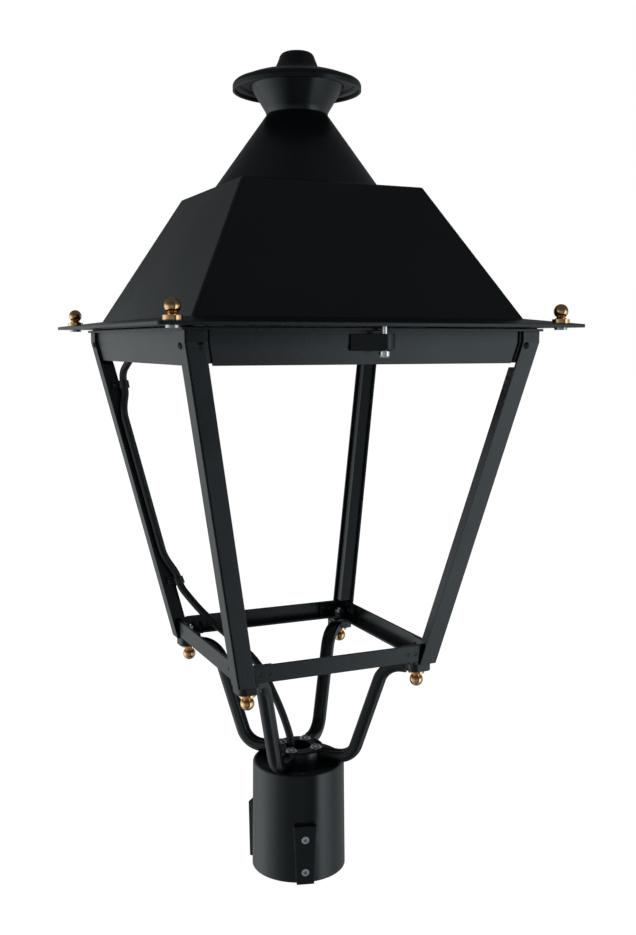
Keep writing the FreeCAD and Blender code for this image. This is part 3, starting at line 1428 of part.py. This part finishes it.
# ---------------------------------------------------------------- checks and files
faults = []
for item in doc.Objects:
    state = [word for word in item.State if word in ("Invalid", "Error")]
    if state:
        faults.append("%s is %s" % (item.Label, state))
if faults:
    raise RuntimeError("; ".join(faults))
for item in nodes:
    if item.Shape.isNull() or not item.Shape.isValid() or not item.Shape.Solids:
        raise RuntimeError("%s has no valid solid" % item.Label)
os.makedirs("parts", exist_ok=True)
for item in nodes:
    item.Shape.exportStep("parts/%s.step" % item.Label)
print("%d nodes written" % len(nodes))
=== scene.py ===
"""Looks of the post top lantern: materials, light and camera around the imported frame."""
import json
import math

import bpy
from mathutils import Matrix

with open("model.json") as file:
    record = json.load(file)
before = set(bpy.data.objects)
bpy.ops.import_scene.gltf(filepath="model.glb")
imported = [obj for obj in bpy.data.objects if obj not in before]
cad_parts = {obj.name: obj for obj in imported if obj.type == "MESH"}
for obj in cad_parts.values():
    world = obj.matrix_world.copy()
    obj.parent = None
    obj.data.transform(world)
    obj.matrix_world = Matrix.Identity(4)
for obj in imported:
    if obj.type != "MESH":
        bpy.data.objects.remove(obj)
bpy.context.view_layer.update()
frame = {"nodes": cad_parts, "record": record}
nodes = frame["nodes"]
MM = 0.001

# sockets of a Mix node that mixes colours
MIX_FACTOR, MIX_FIRST, MIX_SECOND, MIX_RESULT = 0, 6, 7, 2


# ---------------------------------------------------------------- node helpers
class Tree:
    """A short way to write shader nodes."""

    def __init__(self, name, world=False):
        self.owner = (bpy.data.worlds if world else bpy.data.materials).new(name)
        self.owner.use_nodes = True
        self.tree = self.owner.node_tree
        self.tree.nodes.clear()
        self.output = self.add("OutputWorld" if world else "OutputMaterial")
        self.place = self.add("TexCoord").outputs["Generated" if world else "Object"]

    def add(self, kind, **sockets):
        """Add a node; sockets that are numbers are set and sockets that are outputs are linked."""
        item = self.tree.nodes.new("ShaderNode" + kind)
        for name, value in sockets.items():
            self.feed(item.inputs[name.replace("_", " ")], value)
        return item

    def feed(self, socket, value):
        if isinstance(value, bpy.types.NodeSocket):
            self.tree.links.new(value, socket)
        else:
            socket.default_value = value

    def noise(self, scale, detail, rough, place=None):
        """Noise in object space, with scale in waves to the metre."""
        item = self.add("TexNoise", Vector=place or self.place, Scale=scale, Detail=detail,
                        Roughness=rough)
        return item.outputs["Fac"]

    def ramp(self, value, stops, smooth=False):
        """A colour ramp from (position, colour or grey) stops."""
        item = self.add("ValToRGB", Fac=value)
        ramp = item.color_ramp
        ramp.interpolation = "EASE" if smooth else "LINEAR"
        while len(ramp.elements) < len(stops):
            ramp.elements.new(0.5)
        for element, (position, colour) in zip(ramp.elements, stops):
            element.position = position
            element.color = colour if hasattr(colour, "__len__") else rgb(colour, colour, colour)
        return item.outputs["Color"]

    def spread(self, value, low, high):
        """A ramp from low to high over the middle of a noise's range."""
        return self.ramp(value, [(0.3, low), (0.7, high)])

    def math(self, kind, first, second):
        item = self.add("Math")
        item.operation = kind
        self.feed(item.inputs[0], first)
        self.feed(item.inputs[1], second)
        return item.outputs[0]

    def mix(self, factor, first, second):
        item = self.add("Mix")
        item.data_type = "RGBA"
        self.feed(item.inputs[MIX_FACTOR], factor)
        self.feed(item.inputs[MIX_FIRST], first)
        self.feed(item.inputs[MIX_SECOND], second)
        return item.outputs[MIX_RESULT]

    def stretch(self, scale):
        """Object space scaled along each axis; a small scale draws a noise out into streaks."""
        return self.add("Mapping", Vector=self.place, Scale=scale).outputs["Vector"]

    def bump(self, height, strength, distance, normal=None):
        item = self.add("Bump", Height=height, Strength=strength, Distance=distance)
        if normal is not None:
            self.feed(item.inputs["Normal"], normal)
        return item.outputs["Normal"]

    def soft_edges(self, radius):
        """A shading normal that rounds sharp edges by a real radius."""
        item = self.add("Bevel", Radius=radius)
        item.samples = 4
        return item.outputs["Normal"]

    def shader(self, **sockets):
        """Finish a material with one Principled shader."""
        item = self.add("BsdfPrincipled", **sockets)
        self.tree.links.new(item.outputs["BSDF"], self.output.inputs["Surface"])
        return self.owner


def rgb(red, green, blue):
    return (red, green, blue, 1.0)


# ---------------------------------------------------------------- materials
def powder_coat(name, dark, light, roughness, grain, edge):
    """Satin black powder coat: fine orange peel, faint clouds, pale flecks and softened edges."""
    t = Tree(name)
    cloud = t.noise(scale=9.0, detail=4.0, rough=0.6)
    fleck = t.noise(scale=900.0, detail=2.0, rough=0.6)
    peel = t.noise(scale=grain, detail=2.0, rough=0.55)
    ripple = t.noise(scale=grain * 0.22, detail=2.0, rough=0.5)
    fleck_colour = rgb(0.024, 0.028, 0.030)
    colour = t.mix(t.ramp(cloud, [(0.35, 0.0), (0.68, 1.0)]), dark, light)
    colour = t.mix(t.ramp(fleck, [(0.60, 0.0), (0.80, 0.30)]), colour, fleck_colour)
    gloss = t.spread(cloud, roughness - 0.04, roughness + 0.05)
    normal = t.bump(ripple, strength=0.10, distance=0.25 * MM, normal=t.soft_edges(edge))
    normal = t.bump(peel, strength=0.22, distance=0.10 * MM, normal=normal)
    return t.shader(Base_Color=colour, Roughness=gloss, Normal=normal, Specular_IOR_Level=0.42)


def polished_brass(name):
    """Polished brass with small patches of brown tarnish."""
    t = Tree(name)
    tarnish = t.noise(scale=170.0, detail=5.0, rough=0.65)
    fine = t.noise(scale=2600.0, detail=2.0, rough=0.5)
    bright, brown = rgb(0.86, 0.52, 0.26), rgb(0.46, 0.23, 0.10)
    colour = t.mix(t.ramp(tarnish, [(0.40, 0.0), (0.75, 1.0)]), bright, brown)
    gloss = t.ramp(tarnish, [(0.30, 0.02), (0.75, 0.06)])
    normal = t.bump(fine, strength=0.05, distance=0.04 * MM)
    return t.shader(Base_Color=colour, Metallic=1.0, Roughness=gloss, Normal=normal)


def stainless(name, tone, roughness):
    """Stainless steel with fine upright streaks."""
    t = Tree(name)
    streak = t.noise(scale=700.0, detail=4.0, rough=0.6, place=t.stretch((1.0, 1.0, 0.12)))
    dull = rgb(tone * 0.82, tone * 0.83, tone * 0.85)
    colour = t.spread(streak, dull, rgb(tone, tone, tone))
    gloss = t.spread(streak, roughness, roughness * 1.6)
    normal = t.bump(streak, strength=0.06, distance=0.05 * MM, normal=t.soft_edges(0.25 * MM))
    return t.shader(Base_Color=colour, Metallic=1.0, Roughness=gloss, Normal=normal)


def aluminium(name):
    """Bare aluminium with streaks from side to side."""
    t = Tree(name)
    streak = t.noise(scale=420.0, detail=4.0, rough=0.6, place=t.stretch((0.05, 1.0, 1.0)))
    colour = t.spread(streak, rgb(0.60, 0.61, 0.62), rgb(0.74, 0.75, 0.76))
    gloss = t.spread(streak, 0.32, 0.48)
    normal = t.bump(streak, strength=0.10, distance=0.05 * MM, normal=t.soft_edges(0.3 * MM))
    return t.shader(Base_Color=colour, Metallic=1.0, Roughness=gloss, Normal=normal)


def moulded(name, dark, light, roughness):
    """Moulded plastic or rubber with a fine even grain."""
    t = Tree(name)
    cloud = t.noise(scale=30.0, detail=3.0, rough=0.5)
    skin = t.noise(scale=1500.0, detail=2.0, rough=0.6)
    colour = t.mix(t.ramp(cloud, [(0.35, 0.0), (0.65, 1.0)]), dark, light)
    gloss = t.spread(skin, roughness - 0.05, roughness + 0.07)
    normal = t.bump(skin, strength=0.15, distance=0.06 * MM, normal=t.soft_edges(0.3 * MM))
    return t.shader(Base_Color=colour, Roughness=gloss, Normal=normal)


def lens_plastic(name):
    """Clear acrylic with a faint haze."""
    t = Tree(name)
    haze = t.noise(scale=60.0, detail=3.0, rough=0.5)
    colour = t.spread(haze, rgb(0.90, 0.93, 0.94), rgb(0.97, 0.98, 0.98))
    gloss = t.spread(haze, 0.04, 0.10)
    return t.shader(Base_Color=colour, Roughness=gloss, IOR=1.49, Transmission_Weight=0.92)


def led_board(name):
    """The white solder mask of the board."""
    t = Tree(name)
    mask = t.noise(scale=240.0, detail=2.0, rough=0.5)
    colour = t.spread(mask, rgb(0.78, 0.79, 0.76), rgb(0.84, 0.85, 0.82))
    gloss = t.spread(mask, 0.35, 0.45)
    return t.shader(Base_Color=colour, Roughness=gloss)


MATERIALS = {
    "black_paint": powder_coat("black_coat", rgb(0.0070, 0.0088, 0.0096),
                               rgb(0.0105, 0.0130, 0.0140),
                               roughness=0.28, grain=1500.0, edge=1.0 * MM),
    "brass": polished_brass("brass_polished"),
    "steel": stainless("stainless", tone=0.62, roughness=0.22),
    "black_screw": powder_coat("black_screw_coat", rgb(0.008, 0.009, 0.010),
                               rgb(0.012, 0.013, 0.014),
                               roughness=0.36, grain=2200.0, edge=0.3 * MM),
    "gasket_rubber": moulded("gasket", rgb(0.010, 0.010, 0.010), rgb(0.018, 0.018, 0.018),
                             roughness=0.75),
    "cable_sheath": moulded("cable_sheath", rgb(0.008, 0.009, 0.010), rgb(0.013, 0.014, 0.015),
                            roughness=0.48),
    "dark_plastic": moulded("dark_plastic", rgb(0.009, 0.009, 0.010), rgb(0.014, 0.014, 0.015),
                            roughness=0.42),
    "bare_aluminium": aluminium("aluminium_bare"),
    "driver_case": aluminium("driver_aluminium"),
    "grey_plastic": moulded("grey_plastic", rgb(0.28, 0.29, 0.30), rgb(0.34, 0.35, 0.36),
                            roughness=0.45),
    "board_white": led_board("led_board_mask"),
    "lens_clear": lens_plastic("lens_acrylic"),
}
# the bolts that show outside are brighter than the other steel
BRIGHT_STEEL = stainless("bright_steel", tone=0.85, roughness=0.10)
BRIGHT_NODES = ("lock_screw", "hub_screws", "clamp_screw")

for entry in frame["record"]["subparts"]:
    bright = entry["node"].startswith(BRIGHT_NODES)
    slots = nodes[entry["node"]].data.materials
    slots.clear()
    slots.append(BRIGHT_STEEL if bright else MATERIALS[entry["material_slot"]])


# ---------------------------------------------------------------- light and camera
# the photograph's view: the camera's place in metres, its turn and its tilt down, and its lens
CAMERA_PLACE = (-0.4365, -1.0256, 0.558)
CAMERA_TURN = math.radians(-24.134)
CAMERA_TILT_DEGREES = 6.613
SENSOR_WIDTH = 36.0
FOCAL_LENGTH = 41.54
NEAREST_SEEN = 0.05

# the surround's strength by bearing in degrees: 0 is towards the camera, minus is to its left,
# plus is to its right, and 180 is behind the lantern
ROUND_ABOUT = [(-180, 0.12), (-140, 0.40), (-112, 1.18), (-95, 1.55), (-72, 1.10), (-45, 0.42),
               (-20, 0.18), (10, 0.20), (43, 0.04), (49, 0.22), (54, 1.80), (58, 2.80),
               (64, 1.90), (76, 1.30), (98, 0.50), (180, 0.12)]
# its share by the sine of the height above the horizon
UP_AND_DOWN = [(-1.0, 0.24), (-0.7, 0.55), (-0.50, 0.90), (-0.25, 1.08), (0.0, 1.0),
               (0.14, 0.50), (0.30, 0.13), (0.50, 0.04), (0.80, 0.02), (1.0, 0.02)]
# its colour by bearing
TINT = [(-180, rgb(0.90, 0.97, 1.0)), (-72, rgb(0.89, 0.98, 1.0)), (36, rgb(0.78, 0.92, 1.0)),
        (108, rgb(0.88, 0.96, 1.0)), (180, rgb(0.93, 0.98, 1.0))]
# what the ramp's whole range stands for, and the even light that comes from everywhere
RAMP_RANGE = 3.0
EVEN_LIGHT = 0.085

FLOOR_REACH = 12.0
FLOOR_DROP = 0.8 * MM


def turn_share(angle):
    """Where a bearing in degrees lies from -180 to 180, as a share of the full turn."""
    return angle / 360 + 0.5


def surround():
    """A soft surround: bright low bands at the left and the right, dark overhead and elsewhere."""
    t = Tree("surround", world=True)
    x, y, z = t.add("SeparateXYZ", Vector=t.place).outputs
    cosine, sine = math.cos(CAMERA_TURN), math.sin(CAMERA_TURN)
    right = t.math("ADD", t.math("MULTIPLY", x, cosine), t.math("MULTIPLY", y, sine))
    near = t.math("ADD", t.math("MULTIPLY", x, sine), t.math("MULTIPLY", y, -cosine))
    turn = t.math("DIVIDE", t.math("ARCTAN2", right, near), 2 * math.pi)
    bearing = t.math("ADD", turn, 0.5)
    height = t.math("ADD", t.math("MULTIPLY", z, 0.5), 0.5)
    by_bearing = t.ramp(bearing, [(turn_share(angle), value / RAMP_RANGE)
                                  for angle, value in ROUND_ABOUT], smooth=True)
    by_height = t.ramp(height, [(rise / 2 + 0.5, value) for rise, value in UP_AND_DOWN],
                       smooth=True)
    banded = t.math("MULTIPLY", t.math("MULTIPLY", by_bearing, by_height), RAMP_RANGE)
    tint = t.ramp(bearing, [(turn_share(angle), colour) for angle, colour in TINT])
    glow = t.add("Background", Color=tint, Strength=t.math("ADD", banded, EVEN_LIGHT))
    backdrop = t.add("Background", Color=rgb(1, 1, 1))
    blend = t.add("MixShader", Fac=t.add("LightPath").outputs["Is Camera Ray"])
    t.feed(blend.inputs[1], glow.outputs[0])
    t.feed(blend.inputs[2], backdrop.outputs[0])
    t.feed(t.output.inputs["Surface"], blend.outputs[0])
    bpy.context.scene.world = t.owner


def studio():
    """A pale floor under a soft surround."""
    bpy.context.scene.view_settings.view_transform = "Standard"
    surround()
    floor = bpy.data.meshes.new("floor")
    reach = FLOOR_REACH
    floor.from_pydata([(-reach, -reach, 0), (reach, -reach, 0), (reach, reach, 0),
                       (-reach, reach, 0)], [], [(0, 1, 2, 3)])
    ground = bpy.data.objects.new("floor", floor)
    ground.location.z = -FLOOR_DROP
    ground.visible_glossy = False
    ground.visible_diffuse = False
    bpy.context.scene.collection.objects.link(ground)
    t = Tree("floor_card")
    grain = t.noise(scale=3.0, detail=3.0, rough=0.5)
    floor.materials.append(t.shader(Base_Color=t.spread(grain, 0.90, 0.94), Roughness=0.9,
                                    Emission_Color=rgb(1, 1, 1), Emission_Strength=0.95))


def camera():
    """The photograph's view, with the sensor's width along the picture's long side."""
    lens = bpy.data.cameras.new("camera")
    lens.sensor_width = SENSOR_WIDTH
    lens.lens = FOCAL_LENGTH
    lens.clip_start = NEAREST_SEEN
    holder = bpy.data.objects.new("camera", lens)
    holder.location = CAMERA_PLACE
    holder.rotation_euler = (math.radians(90 - CAMERA_TILT_DEGREES), 0, CAMERA_TURN)
    bpy.context.scene.collection.objects.link(holder)
    bpy.context.scene.camera = holder


studio()
camera()
